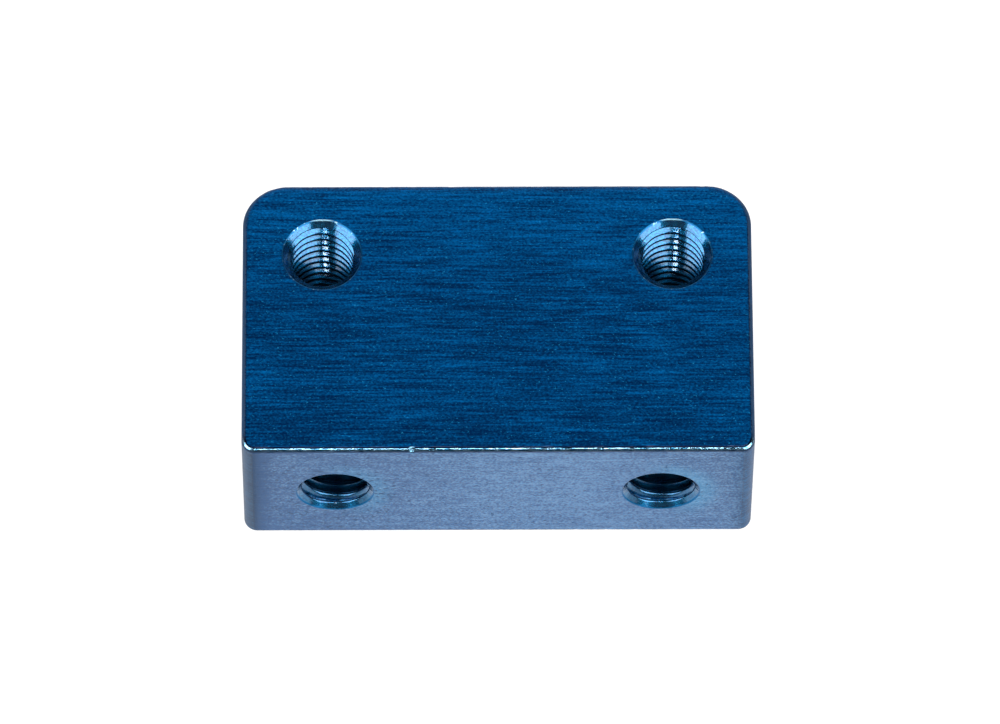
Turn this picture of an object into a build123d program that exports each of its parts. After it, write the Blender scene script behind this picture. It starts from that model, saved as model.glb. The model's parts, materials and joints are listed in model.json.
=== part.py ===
"""A machined aluminium mounting block: one solid, tapped from above and from the front.

The block joins two plates at a right angle. It is cut from flat bar, with two generous
corner rounds at the back, two small ones at the front, and every outer edge broken. Two
tapped holes run right through it near the back corners, and two blind ones enter the
front face at half its height. All four carry the same thread, and their bores stand here
at its minor diameter.

Millimetres. The origin is the centre of the bottom face, X runs along the block, Y from
the front face to the back one, and Z up.
"""

from build123d import *
import math
import os

# The bar and its outline
LENGTH = 34.0
DEPTH = 20.0
THICKNESS = 12.0
BACK_CORNER_RADIUS = 3.0
FRONT_CORNER_RADIUS = 0.9
EDGE_BREAK = 0.3

# The thread, M5 x 0.8: an ISO thread's minor diameter lies 1.0825 pitches inside its nominal one
NOMINAL_DIAMETER = 5.0
PITCH = 0.8
MINOR_RADIUS = (NOMINAL_DIAMETER - 1.0825 * PITCH) / 2

# The through holes, down from the top face, as far from the ends as from the back
THROUGH_EDGE_DISTANCE = 5.3
THROUGH_MOUTH_DIAMETER = 5.3

# The blind holes, into the front face at half its height
BLIND_SPACING = 21.7
BLIND_MOUTH_DIAMETER = 5.2
DRILL_DEPTH = 10.0
DRILL_POINT_ANGLE = 118.0
COUNTERSINK_ANGLE = 90.0

THROUGH_SPACING = LENGTH - 2 * THROUGH_EDGE_DISTANCE
THROUGH_ROW_Y = DEPTH / 2 - THROUGH_EDGE_DISTANCE
DRILL_POINT_LENGTH = MINOR_RADIUS / math.tan(math.radians(DRILL_POINT_ANGLE / 2))

top_face = Plane.XY.offset(THICKNESS)
through_row = Plane(origin=(0, THROUGH_ROW_Y, THICKNESS))
front_face = Plane(origin=(0, -DEPTH / 2, THICKNESS / 2), x_dir=(1, 0, 0), z_dir=(0, -1, 0))
drill_shoulder = front_face.offset(-DRILL_DEPTH)

with BuildPart() as mounting_block:
    # The bar: a rectangle with unequal corner rounds, raised to the full thickness
    with BuildSketch() as outline:
        Rectangle(LENGTH, DEPTH)
        fillet(outline.vertices().group_by(Axis.Y)[-1], BACK_CORNER_RADIUS)
        fillet(outline.vertices().group_by(Axis.Y)[0], FRONT_CORNER_RADIUS)
    extrude(amount=THICKNESS)

    # The rims of the top and bottom faces, rounded over where the edge is broken
    fillet(mounting_block.faces().filter_by(Axis.Z).edges(), EDGE_BREAK)

    # The through holes, countersunk at both mouths
    with Locations(through_row):
        with GridLocations(THROUGH_SPACING, 0, 2, 1):
            CounterSinkHole(
                radius=MINOR_RADIUS,
                counter_sink_radius=THROUGH_MOUTH_DIAMETER / 2,
                counter_sink_angle=COUNTERSINK_ANGLE,
            )
    lower_mouths = (
        mounting_block.edges()
        .filter_by(GeomType.CIRCLE)
        .filter_by(lambda edge: math.isclose(edge.radius, MINOR_RADIUS))
        .group_by(Axis.Z)[0]
    )
    chamfer(lower_mouths, THROUGH_MOUTH_DIAMETER / 2 - MINOR_RADIUS)

    # The blind holes, countersunk at the front and ending in the drill's point
    with Locations(front_face):
        with GridLocations(BLIND_SPACING, 0, 2, 1):
            CounterSinkHole(
                radius=MINOR_RADIUS,
                counter_sink_radius=BLIND_MOUTH_DIAMETER / 2,
                depth=DRILL_DEPTH,
                counter_sink_angle=COUNTERSINK_ANGLE,
            )
    with Locations(drill_shoulder):
        with GridLocations(BLIND_SPACING, 0, 2, 1):
            Cone(
                bottom_radius=MINOR_RADIUS,
                top_radius=0,
                height=DRILL_POINT_LENGTH,
                rotation=(180, 0, 0),
                align=(Align.CENTER, Align.CENTER, Align.MIN),
                mode=Mode.SUBTRACT,
            )

mounting_block.part.label = "mounting_block"

os.makedirs("parts", exist_ok=True)
export_step(mounting_block.part, "parts/mounting_block.step")
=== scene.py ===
"""The mounting block's finished look: its brushed blue anodised faces, its worn edges and its
real threads, with painted highlights and shade on its faces, edges and holes, on a pale floor under the
soft lamps of a small studio.

Metres. The block stands on the floor, its blind holes facing -Y and its through holes +Z.
"""

import json
import math
from collections import namedtuple
import bmesh
import bpy
import numpy as np
from mathutils import Matrix, Vector
from mathutils.geometry import delaunay_2d_cdt


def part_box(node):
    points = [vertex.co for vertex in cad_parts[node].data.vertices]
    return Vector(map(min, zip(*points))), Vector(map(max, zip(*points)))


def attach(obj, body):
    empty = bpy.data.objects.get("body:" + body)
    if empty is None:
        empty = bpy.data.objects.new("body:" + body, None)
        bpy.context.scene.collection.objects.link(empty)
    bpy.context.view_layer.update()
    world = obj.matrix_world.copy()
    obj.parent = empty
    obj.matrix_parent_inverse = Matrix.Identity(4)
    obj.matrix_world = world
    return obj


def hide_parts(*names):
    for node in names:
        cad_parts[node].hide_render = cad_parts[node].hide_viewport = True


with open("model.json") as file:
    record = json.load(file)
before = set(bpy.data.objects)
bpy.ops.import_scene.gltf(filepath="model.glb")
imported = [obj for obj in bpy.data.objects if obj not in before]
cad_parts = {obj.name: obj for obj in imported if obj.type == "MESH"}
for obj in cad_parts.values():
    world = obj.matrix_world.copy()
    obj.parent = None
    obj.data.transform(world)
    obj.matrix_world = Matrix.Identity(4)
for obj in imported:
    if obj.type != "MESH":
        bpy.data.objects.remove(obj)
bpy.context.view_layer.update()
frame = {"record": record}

MM = 0.001

# The block, read from the frame
block_low, block_high = (np.array(corner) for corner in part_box("mounting_block"))
LENGTH, DEPTH, THICKNESS = block_high - block_low
HOLES = [mount for mount in frame["record"]["mounts"] if mount["kind"] == "threaded_hole"]
BLIND_HOLES = [mount for mount in HOLES if mount["axis"][2] < 0.5]
THROUGH_HOLES = [mount for mount in HOLES if mount["axis"][2] > 0.5]

# Its corners and edges, and how far from an edge its faces begin to fall away, and how steeply
BACK_CORNER = 3.0 * MM
FRONT_CORNER = 0.9 * MM
EDGE_ROUND = 0.3 * MM
RIM_BAND = 0.55 * MM
ROLL_OFF = 0.07

# The thread in every hole, its mouth, and the blind holes' depth of thread and drill point
PITCH = 0.8 * MM
ROOT_RADIUS = 2.49 * MM
FLANK_SLOPE = math.tan(math.radians(60))
THROUGH_MOUTH = 2.65 * MM
BLIND_MOUTH = 2.6 * MM
LIP_ROUND = 0.12 * MM
THREADED_DEPTH = 8.3 * MM
DRILL_POINT_SLOPE = math.tan(math.radians(118 / 2))

# Depth of the first whole crest below each hole's face, at the side the turns are counted from
FIRST_CREST = {
    "through_hole_left": 1.2 * MM,
    "through_hole_right": 1.2 * MM,
    "blind_hole_left": 0.685 * MM,
    "blind_hole_right": 0.685 * MM,
}

# The wear of the edges: how far from an edge's middle it goes, and the nicks all round an edge
WEAR_REACH = 0.45 * MM
NICKS = 70

# A dent on the front's upper edge: its place from the block's middle, its depth, its half
# widths, and how far to each side of it the edge's points are close together
DING_X = -5.72 * MM
DING_DEPTH = 0.10 * MM
DING_ALONG = 0.16 * MM
DING_ACROSS = 0.15 * MM
DING_REACH = 0.4 * MM

# How finely the surfaces are divided: steps along the front, its dent, the other sides and the
# corners, the ring of flat round a hole's mouth, and the columns round a hole
FRONT_STEP = 0.075 * MM
DING_STEP = 0.03 * MM
SIDE_STEP = 0.12 * MM
CORNER_STEP = 0.14 * MM
MOUTH_BAND = 0.6 * MM
TURN_COLUMNS = 104

# What a point's rim and depth say where it is by no rim and in no hole
NO_RIM = 9.0
NO_HOLE = -1.0


# ---------------------------------------------------------------- camera

def look_direction(azimuth, elevation):
    """The unit vector that a camera looks along from that azimuth (0 is the front) and height."""
    a = math.radians(azimuth)
    e = math.radians(elevation)
    return Vector((math.sin(a) * math.cos(e), math.cos(a) * math.cos(e), -math.sin(e)))


def make_camera(azimuth=0.737, elevation=62.480, roll=0.502, distance=0.7041, lens=378.0,
                aim_right=0.184 * MM, aim_down=0.245 * MM):
    """A long lens from high in front, turned a little, aimed close to the block's middle."""
    forward = look_direction(azimuth, elevation)
    level = Vector((math.cos(math.radians(azimuth)), -math.sin(math.radians(azimuth)), 0))
    right = Matrix.Rotation(math.radians(roll), 3, -forward) @ level
    up = right.cross(forward)
    aim = Vector((0, 0, THICKNESS / 2)) + aim_right * right - aim_down * up
    camera_data = bpy.data.cameras.new("camera")
    camera_data.sensor_width = 36
    camera_data.lens = lens
    camera_data.clip_start = 0.01
    camera = bpy.data.objects.new("camera", camera_data)
    turn = Matrix((right, up, -forward)).transposed()
    camera.matrix_world = Matrix.Translation(aim - distance * forward) @ turn.to_4x4()
    bpy.context.collection.objects.link(camera)
    bpy.context.scene.camera = camera


make_camera()


# ---------------------------------------------------------------- small helpers

def smooth_max(a, b, blend):
    """The larger of a and b, with the corner between them rounded over a width of blend."""
    h = np.maximum(blend - np.abs(a - b), 0) / blend
    return np.maximum(a, b) + h * h * blend / 4


def wobble(s, seed, wavelengths, period, waves=5):
    """Smooth periodic noise along s: the sum of a few sine waves near each wavelength, with
    seeded phases, over a size that keeps it mostly between -1 and 1."""
    rng = np.random.default_rng(seed)
    total = np.zeros_like(s)
    for wavelength in wavelengths:
        for _ in range(waves):
            turns = max(1, round(period / (wavelength * rng.uniform(0.7, 1.4))))
            total += np.sin(2 * np.pi * turns * s / period + rng.uniform(0, 2 * np.pi))
    return total / (len(wavelengths) * math.sqrt(waves / 2) * math.sqrt(2))


def go_round(grid):
    """A closed grid with its first column added again at its end."""
    return np.concatenate([grid, grid[:, :1]], 1)


class Skin:
    """Vertices, their pattern coordinates and faces, gathered region by region. A vertex also
    has its way across a rim from the rim's middle, its depth in a hole, and its share of painted shade,
    0 to 1."""

    def __init__(self):
        self.points = []
        self.patterns = []
        self.rims = []
        self.depths = []
        self.hole_shades = []
        self.quads = []
        self.triangles = []
        self.count = 0

    def add(self, points, pattern, faces, rim=NO_RIM, depth=NO_HOLE, hole_shade=0.0):
        """Adds a region's points (n, 3), its pattern coordinates (n, 2) and its faces."""
        n = len(points)
        self.points.append(points)
        self.patterns.append(pattern)
        self.rims.append(np.broadcast_to(np.asarray(rim, float), (n,)))
        self.depths.append(np.broadcast_to(np.asarray(depth, float), (n,)))
        self.hole_shades.append(np.broadcast_to(np.asarray(hole_shade, float), (n,)))
        kind = self.quads if faces.shape[1] == 4 else self.triangles
        kind.append(faces + self.count)
        self.count += n

    def add_grid(self, points, pattern, rim=NO_RIM, depth=NO_HOLE, hole_shade=0.0):
        """Adds a grid (rows, columns, 3) of quads. One that goes right round has its first
        column again as its last, so that its pattern runs on, and the two are merged later."""
        rows, columns = points.shape[:2]
        number = np.arange(rows * columns).reshape(rows, columns)
        quads = np.stack([number[:-1, :-1], number[:-1, 1:], number[1:, 1:], number[1:, :-1]], -1)
        rim = np.broadcast_to(np.asarray(rim, float), (rows, columns)).reshape(-1)
        depth = np.broadcast_to(np.asarray(depth, float), (rows, columns)).reshape(-1)
        hole_shade = np.broadcast_to(np.asarray(hole_shade, float), (rows, columns)).reshape(-1)
        self.add(points.reshape(-1, 3), pattern.reshape(-1, 2), quads.reshape(-1, 4), rim, depth, hole_shade)

    def make_mesh(self, name):
        """The mesh, its patterns in the UV map tool_marks and its vertices' rim, depth and painted hole
        shade in attributes, all lengths in mm. Vertices that meet are joined, and faces turned
        outwards."""
        mesh = bpy.data.meshes.new(name)
        faces = np.concatenate(self.quads).tolist() + np.concatenate(self.triangles).tolist()
        mesh.from_pydata(np.concatenate(self.points).tolist(), [], faces)
        corner_vertex = np.empty(len(mesh.loops), np.int64)
        mesh.loops.foreach_get("vertex_index", corner_vertex)
        layer = mesh.uv_layers.new(name="tool_marks")
        layer.data.foreach_set("uv", (np.concatenate(self.patterns) / MM)[corner_vertex].ravel())
        for trait, values, unit in (
            ("rim", self.rims, MM),
            ("depth", self.depths, MM),
            ("hole_shade", self.hole_shades, 1.0),
        ):
            attribute = mesh.attributes.new(trait, "FLOAT", "POINT")
            attribute.data.foreach_set("value", np.concatenate(values) / unit)
        work = bmesh.new()
        work.from_mesh(mesh)
        bmesh.ops.remove_doubles(work, verts=work.verts, dist=0.001 * MM)
        bmesh.ops.dissolve_degenerate(work, edges=work.edges, dist=0.0001 * MM)
        bmesh.ops.recalc_face_normals(work, faces=work.faces)
        work.to_mesh(mesh)
        work.free()
        mesh.shade_smooth()
        mesh.set_sharp_from_angle(angle=math.radians(45))
        return mesh


# ---------------------------------------------------------------- the outline

Plan = namedtuple("Plan", "points outward along perimeter front_count")


def outline():
    """The block's plan, once round from the front's left end: its points, outward directions and
    distance along. Straight sides, then quarter arcs of a corner's centre plus its radius times
    the outward direction. The points are closest together at the front, and most at its dent."""
    half_length = LENGTH / 2
    half_depth = DEPTH / 2
    front, back = FRONT_CORNER, BACK_CORNER
    ding_start = half_length - front + DING_X - DING_REACH
    ding_end = half_length - front + DING_X + DING_REACH
    front_steps = np.concatenate([
        np.arange(0, ding_start, FRONT_STEP),
        np.arange(ding_start, ding_end, DING_STEP),
        np.arange(ding_end, LENGTH - 2 * front, FRONT_STEP),
    ])
    corners = [
        (half_length - front, -half_depth + front, front, -90, front_steps),
        (half_length - back, half_depth - back, back, 0, None),
        (-half_length + back, half_depth - back, back, 90, None),
        (-half_length + front, -half_depth + front, front, 180, None),
    ]
    points, outward = [], []
    start = np.array([-half_length + front, -half_depth])
    for centre_x, centre_y, radius, first_angle, steps in corners:
        first = math.radians(first_angle)
        arc_start = np.array([centre_x + radius * math.cos(first), centre_y + radius * math.sin(first)])
        run = np.linalg.norm(arc_start - start)
        if steps is None:
            steps = np.linspace(0, run, round(run / SIDE_STEP), endpoint=False)
        points.append(start + (steps / run)[:, None] * (arc_start - start))
        outward.append(np.tile([math.cos(first), math.sin(first)], (len(steps), 1)))
        count = max(14, round(radius * math.pi / 2 / CORNER_STEP))
        angle = first + np.linspace(0, math.pi / 2, count, endpoint=False)
        way = np.stack([np.cos(angle), np.sin(angle)], 1)
        points.append(np.array([centre_x, centre_y]) + radius * way)
        outward.append(way)
        start = np.array([centre_x, centre_y]) + radius * np.array([
            math.cos(first + math.pi / 2), math.sin(first + math.pi / 2)])
    points = np.concatenate(points)
    outward = np.concatenate(outward)
    gaps = np.linalg.norm(np.roll(points, -1, 0) - points, axis=1)
    along = np.concatenate([[0], np.cumsum(gaps)[:-1]])
    return Plan(points, outward, along, gaps.sum(), len(front_steps))


# ---------------------------------------------------------------- rims, walls and flats

def rim_damage(along, perimeter, across, seed):
    """How deep the edge is worn at each place: a fine wobble along it, strongest at its middle,
    and a scatter of small nicks, each exp(-(distance / half width) squared) both ways. across is
    measured from the edge's middle."""
    near = np.exp(-(across / (0.16 * MM)) ** 2)
    wear = 0.5 + 0.5 * wobble(along, seed, [0.35 * MM, 0.8 * MM, 2.0 * MM], perimeter)
    depth = 0.016 * MM * near[:, None] * np.clip(wear, 0, None)[None, :]
    rng = np.random.default_rng(seed + 1)
    for _ in range(NICKS):
        place = rng.uniform(0, perimeter)
        width = rng.uniform(0.07, 0.22) * MM
        height = rng.uniform(-0.12, 0.12) * MM
        deep = rng.uniform(0.008, 0.03) * MM
        off = (along - place + perimeter / 2) % perimeter - perimeter / 2
        beside = (across[:, None] - height) / (0.09 * MM)
        depth += deep * np.exp(-beside ** 2 - (off[None, :] / width) ** 2)
    return depth


def ding(along, across):
    """How deep the dent on the front's upper edge is: its depth times exp(-(distance / half
    width) squared) both ways, from a middle just below the edge's."""
    off = (along - (LENGTH / 2 - FRONT_CORNER + DING_X)) / DING_ALONG
    beside = (across - 0.03 * MM) / DING_ACROSS
    return DING_DEPTH * np.exp(-beside[:, None] ** 2 - off[None, :] ** 2)


def rim_profile(band_rows, arc_rows):
    """Rows across a rounded edge, from the flat above it to the wall below: each one's inset
    from the wall, its drop from the flat, its lean, and its distance from the edge's middle.
    A band of each face, its rows closer towards the edge, and a quarter circle between them.
    Past its band's start the surface sinks by the square of the way in, which fades out on
    the wall."""
    band = RIM_BAND * np.linspace(1, 0.3, band_rows) ** 2
    lean = np.radians(np.linspace(0, 90, arc_rows))
    half_arc = EDGE_ROUND * math.pi / 4
    inset = np.concatenate([EDGE_ROUND + band, EDGE_ROUND * (1 - np.sin(lean)), 0 * band])
    drop = np.concatenate([0 * band, EDGE_ROUND * (1 - np.cos(lean)), EDGE_ROUND + band[::-1]])
    across = np.concatenate([-half_arc - band, EDGE_ROUND * lean - half_arc, half_arc + band[::-1]])
    lean = np.concatenate([0 * band, lean, 0 * band + math.pi / 2])
    run = EDGE_ROUND + RIM_BAND - inset
    sink = 0.5 * ROLL_OFF * run ** 2 / RIM_BAND * np.clip(1.6 - across / half_arc / 1.2, 0, 1)
    return inset, drop + sink, lean, across


def add_rim(skin, plan, upper):
    """One rounded edge all round the block: each profile row is the plan moved in by its inset
    and dropped, then pressed in along its own lean by the wear. The flat band keeps the flat's
    pattern, and the arc and the band below it go on with the wall's."""
    band_rows, arc_rows, seed = (5, 10, 5) if upper else (3, 6, 17)
    inset, drop, lean, across = rim_profile(band_rows, arc_rows)
    worn = rim_damage(plan.along, plan.perimeter, across, seed)
    if upper:
        worn += ding(plan.along, across)
    too_far = np.clip(np.abs(across) - WEAR_REACH, 0, None)
    worn *= np.exp(-too_far[:, None] / (0.02 * MM))
    worn[[0, -1]] = 0
    side = -1 if upper else 1
    xy = plan.points[None] - inset[:, None, None] * plan.outward[None]
    xy = xy - (worn * np.sin(lean)[:, None])[..., None] * plan.outward[None]
    level = THICKNESS if upper else 0
    z = level + side * (drop[:, None] + worn * np.cos(lean)[:, None])
    grid = go_round(np.concatenate([xy, z[..., None]], -1))
    wall_start = level + side * EDGE_ROUND
    down = wall_start + side * (across - EDGE_ROUND * math.pi / 4)
    s = np.append(plan.along, plan.perimeter)
    wall_pattern = np.stack(np.broadcast_arrays(s[None], down[:, None]), -1)
    flat = np.count_nonzero(lean == 0)
    rim = np.broadcast_to(across[:, None], grid.shape[:2])
    for rows, pattern in ((slice(0, flat), grid[..., :2]), (slice(flat - 1, None), wall_pattern)):
        skin.add_grid(grid[rows], pattern[rows], rim=rim[rows])


def wall_levels():
    """The heights of the wall's rows between the two rims' bands."""
    margin = EDGE_ROUND + RIM_BAND
    return np.linspace(THICKNESS - margin, margin, 5)


def add_wall(skin, plan):
    """The wall between the rims, apart from the front's flat part: the plan at each level."""
    levels = wall_levels()
    order = np.r_[plan.front_count:len(plan.points), 0]
    xy = np.broadcast_to(plan.points[order][None], (len(levels), len(order), 2))
    z = np.broadcast_to(levels[:, None], xy.shape[:2])
    grid = np.concatenate([xy, z[..., None]], -1)
    s = plan.along[order].copy()
    s[-1] = plan.perimeter
    pattern = np.stack([np.broadcast_to(s[None], z.shape), z], -1)
    skin.add_grid(grid, pattern)


def fill_flat(skin, loops, place):
    """A flat face between an outer loop and round holes, all (n, 2), as Delaunay triangles, of
    which those whose middles lie inside a hole are left out. place makes its points 3-D."""
    corners = np.concatenate(loops)
    starts = np.cumsum([0] + [len(loop) for loop in loops])
    rings = [np.arange(first, last) for first, last in zip(starts[:-1], starts[1:])]
    edges = np.concatenate([np.stack([ring, np.roll(ring, -1)], 1) for ring in rings]).tolist()
    scaled = list(map(Vector, (corners / MM).tolist()))
    found, _, triangles, _, _, _ = delaunay_2d_cdt(scaled, edges, [], 1, 1e-6)
    found = np.array(found) * MM
    triangles = np.array(triangles)
    middle = found[triangles].mean(1)
    keep = np.ones(len(triangles), bool)
    for loop in loops[1:]:
        centre = loop.mean(0)
        radius = np.linalg.norm(loop - centre, axis=1).min()
        keep &= np.linalg.norm(middle - centre, axis=1) > radius * 0.9999
    skin.add(place(found), found, triangles[keep])


# ---------------------------------------------------------------- the holes

def thread_radius(offset, crest_radius, corner):
    """The wall's radius at an offset along the axis from a crest: a flat crest a quarter of a
    pitch wide with its corners rounded over corner, 60 degree flanks and a flat root, repeating
    every pitch."""
    away = np.abs((offset / PITCH + 0.5) % 1 - 0.5) * PITCH
    flank = crest_radius + (away - PITCH / 8) * FLANK_SLOPE
    return np.minimum(smooth_max(flank, crest_radius, corner), ROOT_RADIUS)


def mouth_profile(mouth):
    """Rows of a hole's mouth, from the flat ring round it over its lip, an eighth of a circle
    that meets the countersink's cone: each one's radius and depth."""
    ring = mouth + MOUTH_BAND * np.array([1, 0.6, 0.32, 0.15])
    lean = np.radians(np.linspace(0, 45, 5))
    tangent = LIP_ROUND * math.tan(math.radians(22.5))
    lip_radius = mouth + tangent - LIP_ROUND * np.sin(lean)
    lip_depth = LIP_ROUND * (1 - np.cos(lean))
    return np.concatenate([ring, lip_radius]), np.concatenate([0 * ring, lip_depth])


def bore_wall(depth, turn, mouth, crest_radius, first_crest, blind, length):
    """The bore's radius at each depth and turn: the thread, whose crests sink one pitch for each
    clockwise turn, cut away by the countersink's cone at each open end. It starts shallow, and
    in a blind hole it fades out to the plain bore."""
    corner = (0.20 if blind else 0.10) * MM
    wall = thread_radius(depth - first_crest + PITCH * turn / (2 * math.pi), crest_radius, corner)
    started = np.clip((depth - 0.25 * MM) / (0.4 * MM), 0, 1)
    wall = np.minimum(wall, crest_radius + (ROOT_RADIUS - crest_radius) * started)
    if blind:
        fade = np.clip((depth - THREADED_DEPTH) / (0.6 * MM), 0, 1)
        wall = wall + (crest_radius - wall) * fade
    wall = smooth_max(wall, mouth - depth, corner)
    if not blind:
        wall = smooth_max(wall, mouth - (length - depth), 0.05 * MM)
    return wall


def helix_rows(top, bottom, crest_radius, blind):
    """Depths of the thread's rows at turn zero, counted from a crest: one along each corner of
    its profile in every pitch, and evenly spaced ones near the open ends, where the countersink
    cuts it. Of the spaced ones, those too near the next row are left out."""
    root = PITCH / 8 + (ROOT_RADIUS - crest_radius) / FLANK_SLOPE
    corner = np.array([-PITCH / 8, PITCH / 8, root, PITCH - root])
    if not blind:
        corner = np.append(corner, -PITCH / 8 + MM * np.array([-0.06, -0.03, 0.04]))
    turns = np.arange(math.floor(top / PITCH) - 1, math.ceil(bottom / PITCH) + 2)
    corner_rows = (turns[:, None] * PITCH + corner).ravel()
    fine_end = top + 1.3 * MM
    spans = [(top, fine_end, 0.025 * MM), (fine_end, top + 2.0 * MM, 0.07 * MM)]
    if not blind:
        spans.append((bottom - 1.0 * MM, bottom + PITCH, 0.09 * MM))
    spaced_rows = [np.arange(start, end, step) for start, end, step in spans]
    rows = np.sort(np.concatenate([corner_rows] + spaced_rows))
    apart = np.diff(rows, append=rows[-1] + PITCH) > 0.012 * MM
    corners = np.abs((rows[:, None] - corner + PITCH / 2) % PITCH - PITCH / 2).min(1) < 1e-9
    return rows[apart | corners]


def thread_shade(depth, radius, turn, crest_radius, blind):
    """Painted shade in the thread, from 0 to 1, darkening its recesses and depths. In a blind hole
    it thickens with depth. In a through hole it is the larger of two products of ramps: by radius
    and depth, for the roots, and by depth and the turn away from the back, for the sides lower down."""
    if blind:
        return np.interp(depth, np.array([0, 0.5, 1.0, 1.4, 2.0]) * MM, [0.1, 0.15, 0.3, 0.35, 0.4])
    in_root = np.clip((radius - crest_radius - 0.20 * MM) / (0.12 * MM), 0, 1)
    hole_shade = 0.85 * in_root * np.clip((depth - 0.75 * MM) / (0.2 * MM), 0, 1)
    aside = np.clip(np.abs(turn - math.pi / 2) / math.radians(16) - 0.6, 0, 1)
    return np.maximum(hole_shade, 0.75 * aside * np.clip((depth - 3.4 * MM) / (2.6 * MM), 0, 1))


def add_hole(skin, mount, mouth, first_crest, blind):
    """A tapped hole as a grid of rows by turns, each point its mouth's centre plus its radius
    times its outward direction less its depth times the axis: the mouth, rows that follow the
    helix, clipped level at both ends, and the far mouth or the drill point."""
    axis = np.array(mount["axis"], float)
    centre = np.array(mount["pos_m"], float)
    crest_radius = mount["dims"]["r_mm"] * MM
    across = np.array([1.0, 0.0, 0.0])
    up = np.cross(axis, across)
    face = block_high[2] if axis[2] > 0.5 else -block_low[1]
    mouth_centre = centre + axis * (face - centre @ axis)
    length = DEPTH if axis[2] < 0.5 else THICKNESS
    turn = np.linspace(0, 2 * math.pi, TURN_COLUMNS, endpoint=False)

    ring_radius, ring_depth = mouth_profile(mouth)
    one = np.ones_like(turn)
    radius = [ring_radius[:, None] * one]
    depth = [ring_depth[:, None] * one]

    top = ring_depth[-1] + 0.02 * MM
    bottom = THREADED_DEPTH + 0.7 * MM if blind else length - top
    rows = first_crest + helix_rows(top - first_crest, bottom - first_crest, crest_radius, blind)
    helix = np.clip(rows[:, None] - PITCH * turn[None] / (2 * math.pi), top, bottom)
    depth.append(helix)
    radius.append(bore_wall(helix, turn, mouth, crest_radius, first_crest, blind, length))

    if blind:
        drilled = mount["dims"]["length_mm"] * MM + mouth - crest_radius
        plain = np.linspace(bottom, drilled, 4)[1:]
        depth.append(plain[:, None] * one)
        radius.append(np.full((len(plain), len(turn)), crest_radius))
        share = np.linspace(1, 0, 7)[1:]
        depth.append((drilled + (1 - share) * crest_radius / DRILL_POINT_SLOPE)[:, None] * one)
        radius.append((share * crest_radius)[:, None] * one)
    else:
        depth.append((length - ring_depth[::-1])[:, None] * one)
        radius.append(ring_radius[::-1][:, None] * one)

    radius = np.concatenate(radius)
    depth = np.concatenate(depth)
    way = np.cos(turn)[:, None] * across + np.sin(turn)[:, None] * up
    grid = go_round(mouth_centre + radius[..., None] * way[None] - depth[..., None] * axis)
    depth = go_round(depth)
    full_turn = np.append(turn, 2 * math.pi)
    pattern = np.stack(np.broadcast_arrays(full_turn[None] * crest_radius, depth), -1)
    hole_shade = thread_shade(depth, go_round(radius), full_turn, crest_radius, blind)
    flat = np.count_nonzero(ring_depth == 0)
    on_face = grid[..., [0, 2]] if blind else grid[..., :2]
    skin.add_grid(grid[:flat], on_face[:flat])
    last = len(grid) if blind else len(grid) - flat + 1
    inner = slice(flat - 1, last)
    skin.add_grid(grid[inner], pattern[inner], depth=depth[inner], hole_shade=hole_shade[inner])
    if not blind:
        skin.add_grid(grid[last - 1:], on_face[last - 1:])
    return mouth_centre + ring_radius[0] * way


# ---------------------------------------------------------------- the whole block

def make_block():
    """Gathers the rims, wall, holes and flats, and makes them one closed mesh."""
    skin = Skin()
    plan = outline()
    add_rim(skin, plan, upper=True)
    add_rim(skin, plan, upper=False)
    add_wall(skin, plan)
    through_rings, blind_rings = [], []
    for mount in HOLES:
        blind = mount in BLIND_HOLES
        mouth = BLIND_MOUTH if blind else THROUGH_MOUTH
        ring = add_hole(skin, mount, mouth, FIRST_CREST[mount["name"]], blind)
        (blind_rings if blind else through_rings).append(ring)

    # The top and bottom flats, then the front's
    flat_loop = plan.points - (EDGE_ROUND + RIM_BAND) * plan.outward
    for level in (THICKNESS, 0):
        loops = [flat_loop] + [ring[:, :2] for ring in through_rings]
        fill_flat(skin, loops, lambda p, z=level: np.c_[p, np.full(len(p), z)])
    levels = wall_levels()
    front_x = plan.points[:plan.front_count + 1, 0]
    panel = np.concatenate([
        np.c_[front_x, np.full(len(front_x), levels[0])],
        np.c_[np.full(3, front_x[-1]), levels[1:-1]],
        np.c_[front_x[::-1], np.full(len(front_x), levels[-1])],
        np.c_[np.full(3, front_x[0]), levels[1:-1][::-1]],
    ])
    loops = [panel] + [ring[:, [0, 2]] for ring in blind_rings]
    fill_flat(skin, loops, lambda p: np.c_[p[:, 0], np.full(len(p), -DEPTH / 2), p[:, 1]])

    mesh = skin.make_mesh("mounting_block_finish")
    block = bpy.data.objects.new("mounting_block_finish", mesh)
    bpy.context.collection.objects.link(block)
    return block


block = make_block()


# ---------------------------------------------------------------- the finish

# The anodised block's colours in linear light. A pair runs from deep to pale.
BRUSHED = ((0.0, 0.016, 0.065, 1), (0.0, 0.16, 0.49, 1))
PALE_SPECK = (0.02, 0.30, 0.62, 1)
MILLED = ((0.0, 0.075, 0.235, 1), (0.004, 0.18, 0.435, 1))
PALE_HALO = (0.01, 0.30, 0.56, 1)
DARK_PIT = (0.0, 0.05, 0.15, 1)
TAPPED = ((0.0, 0.075, 0.21, 1), (0.005, 0.165, 0.34, 1))
# Painted shade for the holes' recesses and depths
PAINTED_HOLE_SHADE = (0.0, 0.012, 0.035, 1)
# The lips' dye, and a pale for rubbed burrs that is also a painted highlight at the top holes' backs
LIP_WEAR_AND_GLINT = ((0.01, 0.12, 0.29, 1), (0.3, 0.55, 0.7, 1))
# Scuffs on the side and back edges, partly real and partly a painted sheen
SCUFF_AND_SHEEN = (0.045, 0.115, 0.24, 1)
# The front's upper edge: rubbed and painted as a highlight, with painted dark lines of shade under and
# over it
RUBBED_EDGE_AND_GLINT = ((0.03, 0.20, 0.37, 1), (0.26, 0.53, 0.76, 1))
SHADE_UNDER_EDGE = (0.0, 0.04, 0.12, 1)
SHADE_OVER_EDGE = (0.0, 0.004, 0.015, 1)
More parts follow.
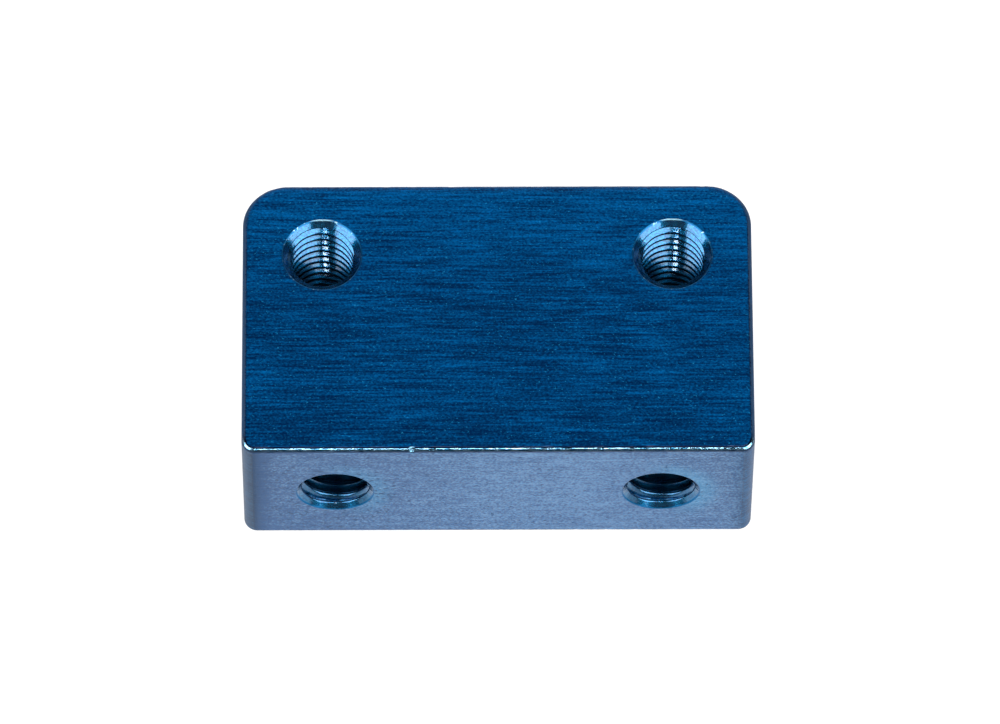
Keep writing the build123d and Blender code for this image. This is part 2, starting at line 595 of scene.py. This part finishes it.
# A painted highlight in the dent on the front's upper edge
DENT_GLINT = (0.14, 0.36, 0.55, 1)
# Painted shade round the front's corners
CORNER_SHADE = (0.015, 0.055, 0.11, 1)

# In the finish's own mm: from the block's middle to its ends and to its front and back, and
# the height of its top. Then the clear film's index.
END = LENGTH / 2 / MM
SIDE = DEPTH / 2 / MM
TOP = THICKNESS / MM
FILM_IOR = 1.75


class Finish:
    """A node tree for one finish, with a short call for each kind of node it uses. place is the
    point in mm, and marks is its place on the mesh's own pattern, whose first number runs along
    the tool marks, also in mm."""

    def __init__(self, name):
        self.material = bpy.data.materials.new(name)
        self.material.use_nodes = True
        self.tree = self.material.node_tree
        self.shader = self.tree.nodes["Principled BSDF"]
        position = self.tree.nodes.new("ShaderNodeTexCoord").outputs["Object"]
        self.place = self.vector("SCALE", position, scale=1 / MM)
        marks = self.tree.nodes.new("ShaderNodeUVMap")
        marks.uv_map = "tool_marks"
        self.marks = marks.outputs["UV"]

    def put(self, socket, value):
        """Links a socket to another one, or sets its value."""
        if isinstance(value, bpy.types.NodeSocket):
            self.tree.links.new(value, socket)
        else:
            socket.default_value = value

    def vector(self, operation, a, b=None, scale=None):
        """Vector arithmetic on sockets or triples."""
        node = self.tree.nodes.new("ShaderNodeVectorMath")
        node.operation = operation
        self.put(node.inputs[0], a)
        if b is not None:
            self.put(node.inputs[1], b)
        if scale is not None:
            self.put(node.inputs["Scale"], scale)
        return node.outputs["Value" if operation in ("LENGTH", "DISTANCE") else "Vector"]

    def math(self, operation, a, b=0.0):
        """Arithmetic on two numbers or sockets."""
        node = self.tree.nodes.new("ShaderNodeMath")
        node.operation = operation
        self.put(node.inputs[0], a)
        self.put(node.inputs[1], b)
        return node.outputs[0]

    def plus(self, a, b):
        """The sum of two numbers."""
        return self.math("ADD", a, b)

    def minus(self, a, b):
        """The first number less the second."""
        return self.math("SUBTRACT", a, b)

    def times(self, a, b):
        """The product of two numbers."""
        return self.math("MULTIPLY", a, b)

    def larger(self, a, b):
        """The larger of two numbers."""
        return self.math("MAXIMUM", a, b)

    def size(self, a):
        """A number without its sign."""
        return self.math("ABSOLUTE", a)

    def split(self, vector):
        """The three parts of a vector."""
        node = self.tree.nodes.new("ShaderNodeSeparateXYZ")
        self.put(node.inputs[0], vector)
        return node.outputs

    def attribute(self, name):
        """A number stored at each of the mesh's points."""
        node = self.tree.nodes.new("ShaderNodeAttribute")
        node.attribute_name = name
        return node.outputs["Fac"]

    def ramp(self, value, low, high, start=0.0, end=1.0):
        """Goes smoothly from start to end as value goes from low to high."""
        node = self.tree.nodes.new("ShaderNodeMapRange")
        node.interpolation_type = "SMOOTHSTEP"
        for socket, number in zip(node.inputs, (value, low, high, start, end)):
            self.put(socket, number)
        return node.outputs[0]

    def choose(self, mask, off, on):
        """A number that is off where the mask is 0 and on where it is 1, and smooth between."""
        return self.ramp(mask, 0.0, 1.0, off, on)

    def noise(self, vector, stretch, size, detail=2.0, shift=(0.0, 0.0, 0.0)):
        """Noise of about that feature size in mm, drawn out along each axis by stretch. It is
        turned off the block's axes, so that its lattice doesn't line up with a face."""
        node = self.tree.nodes.new("ShaderNodeMapping")
        self.put(node.inputs["Vector"], vector)
        node.inputs["Location"].default_value = shift
        node.inputs["Rotation"].default_value = (0.5, 0.4, 0.6)
        node.inputs["Scale"].default_value = [1 / (size * part) for part in stretch]
        noise = self.tree.nodes.new("ShaderNodeTexNoise")
        self.put(noise.inputs["Vector"], node.outputs[0])
        noise.inputs["Scale"].default_value = 1.0
        noise.inputs["Detail"].default_value = detail
        return noise.outputs["Fac"]

    def mix(self, factor, a, b):
        """Mixes two colours."""
        node = self.tree.nodes.new("ShaderNodeMix")
        node.data_type = "RGBA"
        self.put(node.inputs["Factor"], factor)
        self.put(node.inputs["A"], a)
        self.put(node.inputs["B"], b)
        return node.outputs["Result"]

    def bump(self, height, distance, normal=None):
        """A bumped normal, where height runs over distance in metres."""
        node = self.tree.nodes.new("ShaderNodeBump")
        node.inputs["Distance"].default_value = distance
        self.put(node.inputs["Height"], height)
        if normal is not None:
            self.put(node.inputs["Normal"], normal)
        return node.outputs[0]


class Anodising(Finish):
    """Blue anodised aluminium: a dyed metal under a clear hard film, brushed along the block.
    Each step lays one mark of making, of wear, or of painted light and shade over the colour, and
    says where the film is worn: bare runs from 0, whole, to 1, gone. Places and sizes are in mm."""

    def __init__(self):
        super().__init__("blue_anodised_aluminium")
        self.x, self.y, self.z = self.split(self.place)
        self.rim = self.attribute("rim")
        self.depth = self.attribute("depth")
        self.hole_shade = self.attribute("hole_shade")

        # Masks, 1 on each kind of surface and 0 off it
        off_middle = self.size(self.minus(self.z, TOP / 2))
        self.in_hole = self.ramp(self.depth, 0.02, 0.06)
        self.on_front = self.ramp(self.y, 0.05 - SIDE, 0.01 - SIDE)
        self.on_flat = self.minus(1.0, self.ramp(off_middle, TOP / 2 - 0.03, TOP / 2 - 0.2))
        walls = self.ramp(off_middle, TOP / 2 - 0.05, TOP / 2 - 0.3)
        self.on_wall = self.times(walls, self.minus(1.0, self.in_hole))
        self.on_sides = self.times(self.on_wall, self.minus(1.0, self.on_front))

        # The brushing, long fine streaks and shorter coarse ones; a grain of small pits; patches
        fine = self.noise(self.marks, (26, 1, 1), 0.1, 3.0)
        coarse = self.noise(self.marks, (17, 1, 1), 0.2, 2.0, (7.0, 3.0, 0.0))
        self.streaks = self.plus(self.times(fine, 0.5), self.times(coarse, 0.5))
        self.grain = self.noise(self.place, (1.4, 1, 1), 0.12, 3.0)
        self.patches = self.noise(self.place, (2.2, 1, 1), 3.2, 2.0)
        self.tone = self.dye_and_light_tone()

    def lay(self, mask, colour):
        """Lays a colour over what is there, by the mask."""
        self.colour = self.mix(mask, self.colour, colour)

    def wear_film(self, mask, share):
        """Wears the film by a share of the mask, where it isn't worn more already."""
        self.bare = self.larger(self.bare, self.times(mask, share))

    def dye_and_light_tone(self):
        """How pale the dye is, with painted sheen and shade in it: streaks and pits by their shares,
        and a slow drift over each face. The front has more pits than streaks, and they are finer and
        blotched."""
        front = self.on_front
        blotches = self.noise(self.place, (1.8, 1, 1), 0.8, 4.0, (3.0, 0.0, 5.0))
        speckle = self.noise(self.place, (2.2, 1, 1), 0.085, 2.0, (6.0, 1.0, 2.0))
        pits = self.times(self.grain, self.choose(front, 1.0, 0.38))
        pits = self.plus(pits, self.times(blotches, self.choose(front, 0.0, 0.17)))
        pits = self.plus(pits, self.times(self.minus(speckle, 0.5), self.choose(front, 0.0, 0.75)))
        pits = self.plus(pits, self.choose(front, 0.0, 0.225))
        share = self.choose(front, 0.60, 0.33)
        tone = self.plus(self.times(self.streaks, share), self.times(pits, self.minus(1.0, share)))
        tone = self.plus(tone, self.times(self.patches, self.choose(front, 0.1, 0.05)))

        # Painted sheen paler towards the back and painted shade darker towards the front; on the front,
        # paler right of the middle, and painted shade deep at its left end
        tone = self.plus(tone, self.ramp(self.y, 1.0, 9.0, -0.01, 0.035))
        tone = self.plus(tone, self.ramp(self.y, -9.0, -4.0, -0.025, 0.0))
        drift = self.ramp(self.x, 4.0, -15.0, 0.03, -0.035)
        drift = self.minus(drift, self.ramp(self.x, 5.0, 14.0, 0.0, 0.03))
        drift = self.minus(drift, self.ramp(self.x, 2.2 - END, 1.1 - END, 0.0, 0.08))
        tone = self.plus(tone, self.times(front, drift))

        # A painted sheen, a little paler, on the flat beside the side and back edges
        sheen_beside_rim = self.times(self.ramp(self.rim, -0.85, -0.35), self.ramp(self.rim, 1.0, 0.6))
        sheen_beside_rim = self.times(sheen_beside_rim, self.ramp(self.y, 1.1 - SIDE, 1.6 - SIDE))
        return self.plus(tone, self.times(sheen_beside_rim, 0.01))

    def dye_faces(self):
        """The faces' colour by the tone of dye and painted sheen and shade: brushed with a few pale
        specks on the flats, milled on the front, and between the two on the other sides."""
        brushed = self.mix(self.ramp(self.tone, 0.42, 0.88), *BRUSHED)
        specks = self.noise(self.place, (1.6, 1, 1), 0.11, 1.0, (1.0, 2.0, 0.0))
        specks = self.times(self.ramp(specks, 0.66, 0.78), 0.5)
        brushed = self.mix(specks, brushed, PALE_SPECK)
        milled = self.mix(self.ramp(self.tone, 0.42, 0.62), *MILLED)
        milled_share = self.larger(self.on_front, self.times(self.on_wall, 0.6))
        self.colour = self.mix(milled_share, brushed, milled)

    def pale_halo_by_blind_holes(self):
        """A pale halo round the right of each blind hole's mouth, thinning out away from it."""
        centres_x = sorted(mount["pos_m"][0] / MM for mount in BLIND_HOLES)
        for centre_x, strength in zip(centres_x, (0.30, 0.42)):
            away = self.vector("DISTANCE", self.place, (centre_x, -SIDE, TOP / 2))
            halo = self.times(self.ramp(away, 4.4, 2.7), self.on_front)
            aside = self.plus(self.minus(self.x, centre_x), self.times(self.z, 0.3))
            halo = self.times(halo, self.ramp(aside, 1.0, 4.2))
            self.lay(self.times(halo, strength), PALE_HALO)

    def pit_front(self):
        """Dark pits on the front, closest together by the left blind hole."""
        by_left_hole = self.vector("DISTANCE", self.place, (6.0 - END, -SIDE, TOP / 2 - 1.0))
        pits = self.noise(self.place, (1.5, 1, 1), 0.24, 4.0, (5.0, 0.0, 1.0))
        pits = self.ramp(self.plus(pits, self.ramp(by_left_hole, 6.5, 2.5, 0.0, 0.07)), 0.62, 0.69)
        self.pits = self.times(pits, self.on_front)
        self.lay(self.times(self.pits, 0.8), DARK_PIT)

    def cut_threads(self):
        """The dye in the holes, mottled by the grain, under painted shade where the mesh has it."""
        tapped = self.mix(self.ramp(self.grain, 0.3, 0.7), *TAPPED)
        # Painted shade over the holes' dye, deepest in their roots and depths
        self.lay(self.in_hole, self.mix(self.hole_shade, tapped, PAINTED_HOLE_SHADE))

    def rub_and_light_lips(self):
        """Each hole's lip, its film gone. The top holes' lips are rubbed pale in burrs, and
        painted pale as a highlight all along the back."""
        through_y = max(mount["pos_m"][1] for mount in THROUGH_HOLES) / MM
        self.lip = self.times(self.ramp(self.depth, -0.01, 0.01), self.ramp(self.depth, 0.12, 0.05))
        burrs = self.noise(self.place, (1, 1, 1), 0.22, 2.0, (0.0, 6.0, 0.0))
        # A painted highlight along the back of each top hole's lip
        painted_back_glint = self.ramp(self.y, through_y + 2.52, through_y + 2.62)
        rubbed = self.larger(self.ramp(burrs, 0.60, 0.72), painted_back_glint)
        rubbed = self.times(rubbed, self.ramp(self.z, TOP - 1.0, TOP - 0.5))
        self.lay(self.lip, self.mix(rubbed, *LIP_WEAR_AND_GLINT))

    def scuff_and_sheen_edges(self):
        """The side and back edges, scuffed to a dull pale grey in specks that thin out away from them,
        partly real scuffs and partly a painted sheen: noise plus a share that falls with the distance
        from the edge's middle."""
        near = self.ramp(self.rim, -0.30, -0.02, -0.35, 0.40)
        near = self.plus(near, self.ramp(self.rim, -0.75, -0.2, -0.2, 0.0))
        near = self.minus(near, self.ramp(self.rim, 0.1, 0.45, 0.0, 0.9))
        scuffs_and_sheen = self.noise(self.place, (1.2, 1, 1), 0.16, 3.0, (0.0, 0.0, 2.0))
        scuffs_and_sheen = self.ramp(self.plus(scuffs_and_sheen, near), 0.38, 0.72)
        scuffs_and_sheen = self.times(scuffs_and_sheen, self.ramp(self.y, 0.8 - SIDE, 1.6 - SIDE))
        self.scuffs_and_sheen = self.times(scuffs_and_sheen, self.ramp(self.rim, 5.0, 2.0))
        self.lay(self.scuffs_and_sheen, SCUFF_AND_SHEEN)
        # The film is also worn where the holes are painted in shade
        self.bare = self.larger(self.times(self.scuffs_and_sheen, 0.8), self.times(self.hole_shade, 0.85))

    def rub_and_light_front_edge(self):
        """The front's upper edge, rubbed pale and painted as a highlight in dashes, with painted dark
        lines of shade under and over them.
        """
        on_edge = self.times(self.ramp(self.rim, -0.30, -0.20), self.ramp(self.rim, 0.28, 0.17))
        self.on_edge = self.times(on_edge, self.ramp(self.y, 1.1 - SIDE, 0.6 - SIDE))
        dashes = self.noise(self.place, (2.0, 1, 1), 0.2, 3.0, (0.0, 4.0, 0.0))
        dashes = self.ramp(self.plus(dashes, self.times(self.patches, 0.4)), 0.54, 0.80)
        at_ends = self.ramp(self.size(self.x), END - 1.6, END - 1.0, 0.0, 0.1)
        dashes = self.plus(dashes, at_ends)
        # Painted shade: a dark line over the edge's highlight, and another under it
        over = self.ramp(self.rim, -0.11, -0.145)
        rubbed = self.mix(dashes, *RUBBED_EDGE_AND_GLINT)
        rubbed = self.mix(self.ramp(self.rim, 0.0, 0.07), rubbed, SHADE_UNDER_EDGE)
        self.lay(self.on_edge, self.mix(over, rubbed, SHADE_OVER_EDGE))
        self.wear_film(self.on_edge, self.choose(dashes, 0.5, 0.0))
        self.wear_film(self.on_edge, over)

    def mark_dent(self):
        """The dent in the front's upper edge, painted pale as a highlight, with most of its film whole.
        """
        middle = (DING_X / MM, 0.1 - SIDE, TOP - 0.1)
        in_dent = self.ramp(self.vector("DISTANCE", self.place, middle), 0.27, 0.17)
        self.lay(in_dent, DENT_GLINT)
        self.bare = self.times(self.bare, self.choose(in_dent, 1.0, 0.2))

    def shade_front_ends(self):
        """Painted shade round the front's two corners, most at the left."""
        ends = self.times(self.ramp(self.size(self.x), END - 1.4, END - 0.4),
                          self.ramp(self.y, 1.0 - SIDE, 0.7 - SIDE))
        ends = self.times(ends, self.ramp(self.z, TOP - 0.2, TOP - 0.5))
        self.shaded_front_ends = self.times(ends, self.ramp(self.x, -1.0, 1.0, 0.8, 0.2))
        self.lay(self.times(self.shaded_front_ends, 0.75), CORNER_SHADE)

    def thin_film(self):
        """Wears the film on each kind of surface by its own share, and where the dye is deep."""
        deep = self.times(self.ramp(self.tone, 0.63, 0.41), self.on_wall)
        for mask, share in (
            (self.lip, 1.0),
            (deep, 0.62),
            (self.pits, 0.75),
            (self.in_hole, 0.4),
            (self.on_flat, 0.7),
            (self.on_sides, 0.5),
            (self.shaded_front_ends, 0.6),
        ):
            self.wear_film(mask, share)

    def relief(self):
        """The fine relief as a bumped normal: the brushing, much fainter in the holes, the
        grain, and the tap's chatter, which is only in the holes."""
        brushing = self.times(self.streaks, self.choose(self.in_hole, 1.0, 0.3))
        grain = self.times(self.grain, self.choose(self.in_hole, 0.5, 0.6))
        chatter = self.noise(self.marks, (1, 1.6, 1), 0.14, 1.0, (2.0, 0.0, 0.0))
        normal = self.bump(brushing, 0.012 * MM)
        normal = self.bump(grain, 0.006 * MM, normal)
        return self.bump(self.times(chatter, self.in_hole), 0.006 * MM, normal)

    def dress_shader(self):
        """Puts the colour, film and relief on the shader. The metal's glint is drawn out across
        the tool marks."""
        roughness = self.choose(self.in_hole, 0.45, 0.25)
        roughness = self.choose(self.on_edge, roughness, 0.2)
        roughness = self.choose(self.scuffs_and_sheen, roughness, 0.7)
        normal = self.relief()
        tangent = self.tree.nodes.new("ShaderNodeTangent")
        tangent.direction_type = "UV_MAP"
        tangent.uv_map = "tool_marks"
        for socket, value in (
            ("Base Color", self.colour),
            ("Metallic", 1.0),
            ("Roughness", roughness),
            ("Normal", normal),
            ("Anisotropic", 0.75),
            ("Anisotropic Rotation", 0.25),
            ("Tangent", tangent.outputs[0]),
            ("Coat Weight", self.minus(1.0, self.bare)),
            ("Coat Roughness", 0.1),
            ("Coat IOR", FILM_IOR),
            ("Coat Normal", normal),
        ):
            self.put(self.shader.inputs[socket], value)


def anodised_material():
    """The block's finish, laid down in the order in which it was made and worn, with its painted
    highlights and shade among the steps.
    """
    finish = Anodising()
    finish.dye_faces()
    finish.pale_halo_by_blind_holes()
    finish.pit_front()
    finish.cut_threads()
    finish.rub_and_light_lips()
    finish.scuff_and_sheen_edges()
    finish.rub_and_light_front_edge()
    finish.mark_dent()
    finish.shade_front_ends()
    finish.thin_film()
    finish.dress_shader()
    return finish.material


block.data.materials.append(anodised_material())
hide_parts("mounting_block")
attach(block, "root")


# ---------------------------------------------------------------- studio

# How far the floor reaches, how far it lies below the block's underside, so that the two don't
# share a plane, and how brightly it glows where it is seen
FLOOR_REACH = 4.0
FLOOR_DROP = 0.02 * MM
FLOOR_GLOW = 0.78


def make_floor():
    """A wide floor that is white to the camera, light grey to the lamps, and painted nearly black
    as full shade under the block. In reflections its glow is a painted pool of light round the
    block, fading over the distance from its middle, and painted shade past the block's ends.
    Grey is left in what is seen, so that the block's shadow shows."""
    mesh = bpy.data.meshes.new("floor")
    corners = [(x * FLOOR_REACH, y * FLOOR_REACH, -FLOOR_DROP)
               for x, y in ((-1, -1), (1, -1), (1, 1), (-1, 1))]
    mesh.from_pydata(corners, [], [(0, 1, 2, 3)])
    floor = bpy.data.objects.new("floor", mesh)
    bpy.context.collection.objects.link(floor)
    finish = Finish("pale_floor")
    finish.tree.nodes.remove(finish.shader)
    path = finish.tree.nodes.new("ShaderNodeLightPath").outputs
    seen = finish.larger(path["Is Camera Ray"], path["Is Glossy Ray"])
    seen = finish.larger(seen, path["Is Transmission Ray"])
    x, y, _ = finish.split(finish.place)

    # Painted shade: 0 under the block and 1 from just inside its sides outwards
    beside = finish.minus(finish.size(x), END - 1.5)
    behind = finish.minus(finish.size(y), SIDE - 1.5)
    clear = finish.ramp(finish.larger(beside, behind), -0.5, 0.0)

    paint = finish.tree.nodes.new("ShaderNodeBsdfDiffuse")
    pale = finish.mix(seen, (0.85, 0.85, 0.85, 1), (0.3, 0.3, 0.3, 1))
    finish.put(paint.inputs["Color"], finish.mix(clear, (0.02, 0.02, 0.02, 1), pale))
    glow = finish.tree.nodes.new("ShaderNodeEmission")
    # A painted pool of light in reflections round the block, with painted shade beside its ends
    pool = finish.ramp(finish.vector("LENGTH", finish.place), 50.0, 150.0, 1.0, 0.25)
    pool = finish.times(pool, finish.ramp(finish.size(x), END - 2.0, END + 0.2, 1.0, 0.4))
    pool = finish.larger(pool, path["Is Camera Ray"])
    shown = finish.times(finish.times(seen, clear), pool)
    finish.put(glow.inputs["Strength"], finish.times(shown, FLOOR_GLOW))
    both = finish.tree.nodes.new("ShaderNodeAddShader")
    finish.put(both.inputs[0], paint.outputs["BSDF"])
    finish.put(both.inputs[1], glow.outputs["Emission"])
    finish.put(finish.tree.nodes["Material Output"].inputs["Surface"], both.outputs["Shader"])
    mesh.materials.append(finish.material)


def softbox(name, azimuth, elevation, width, height, radiance, roll=0.0, distance=1.0):
    """A rectangular lamp that faces the block from an azimuth (0 is the front, positive to the
    right) and an elevation, turned about its own axis by roll. Its power is its radiance times
    pi times its area."""
    data = bpy.data.lights.new(name, "AREA")
    data.shape = "RECTANGLE"
    data.size = width
    data.size_y = height
    data.energy = radiance * math.pi * width * height
    lamp = bpy.data.objects.new(name, data)
    swing = Matrix.Rotation(math.radians(azimuth), 4, "Z")
    tip = Matrix.Rotation(math.radians(90 - elevation), 4, "X")
    twist = Matrix.Rotation(math.radians(roll), 4, "Z")
    lamp.matrix_world = swing @ tip @ twist @ Matrix.Translation((0, 0, distance))
    bpy.context.collection.objects.link(lamp)


make_floor()
softbox("right_softbox", 61.9, 41.0, width=1.02, height=1.02, radiance=4.2, roll=-8.5)
softbox("left_softbox", -68.5, 37.2, width=0.97, height=0.92, radiance=4.2, roll=20.1)
softbox("overhead_lamp", 0, 87, width=0.50, height=0.44, radiance=5.0)
softbox("front_lamp", -1, 55, width=0.10, height=0.08, radiance=27.0)


def make_air(dimmest=0.015):
    """Dim air all round, with a patch of pale wall low down behind the block and a dim glow
    low down in front of it. Each patch is a product of ramps over the direction's parts."""
    world = bpy.data.worlds.new("studio_air")
    bpy.context.scene.world = world
    world.use_nodes = True
    nodes = world.node_tree.nodes
    links = world.node_tree.links
    way = nodes.new("ShaderNodeTexCoord")
    parts = nodes.new("ShaderNodeSeparateXYZ")
    links.new(way.outputs["Generated"], parts.inputs[0])

    def combine(operation, a, b):
        """The sum or product of a socket and another socket or number."""
        node = nodes.new("ShaderNodeMath")
        node.operation = operation
        for socket, value in zip(node.inputs, (a, b)):
            if isinstance(value, float):
                socket.default_value = value
            else:
                links.new(value, socket)
        return node.outputs[0]

    def patch(bounds, strength):
        """Strength times a smooth ramp from 0 at low to 1 at high for each bound on a part."""
        shade = strength
        for part, low, high in bounds:
            ramp = nodes.new("ShaderNodeMapRange")
            ramp.interpolation_type = "SMOOTHSTEP"
            links.new(parts.outputs[part], ramp.inputs[0])
            ramp.inputs[1].default_value = low
            ramp.inputs[2].default_value = high
            shade = combine("MULTIPLY", ramp.outputs[0], shade)
        return shade

    wall = patch([("Y", 0.40, 0.47), ("Z", 0.84, 0.76), ("Z", 0.30, 0.45)], 0.5)
    glow = patch([("Y", -0.60, -0.80), ("Z", 0.65, 0.50)], 0.12)
    shade = combine("ADD", combine("ADD", wall, glow), dimmest)
    links.new(shade, nodes["Background"].inputs["Color"])


make_air()

bpy.context.scene.view_settings.view_transform = "Standard"
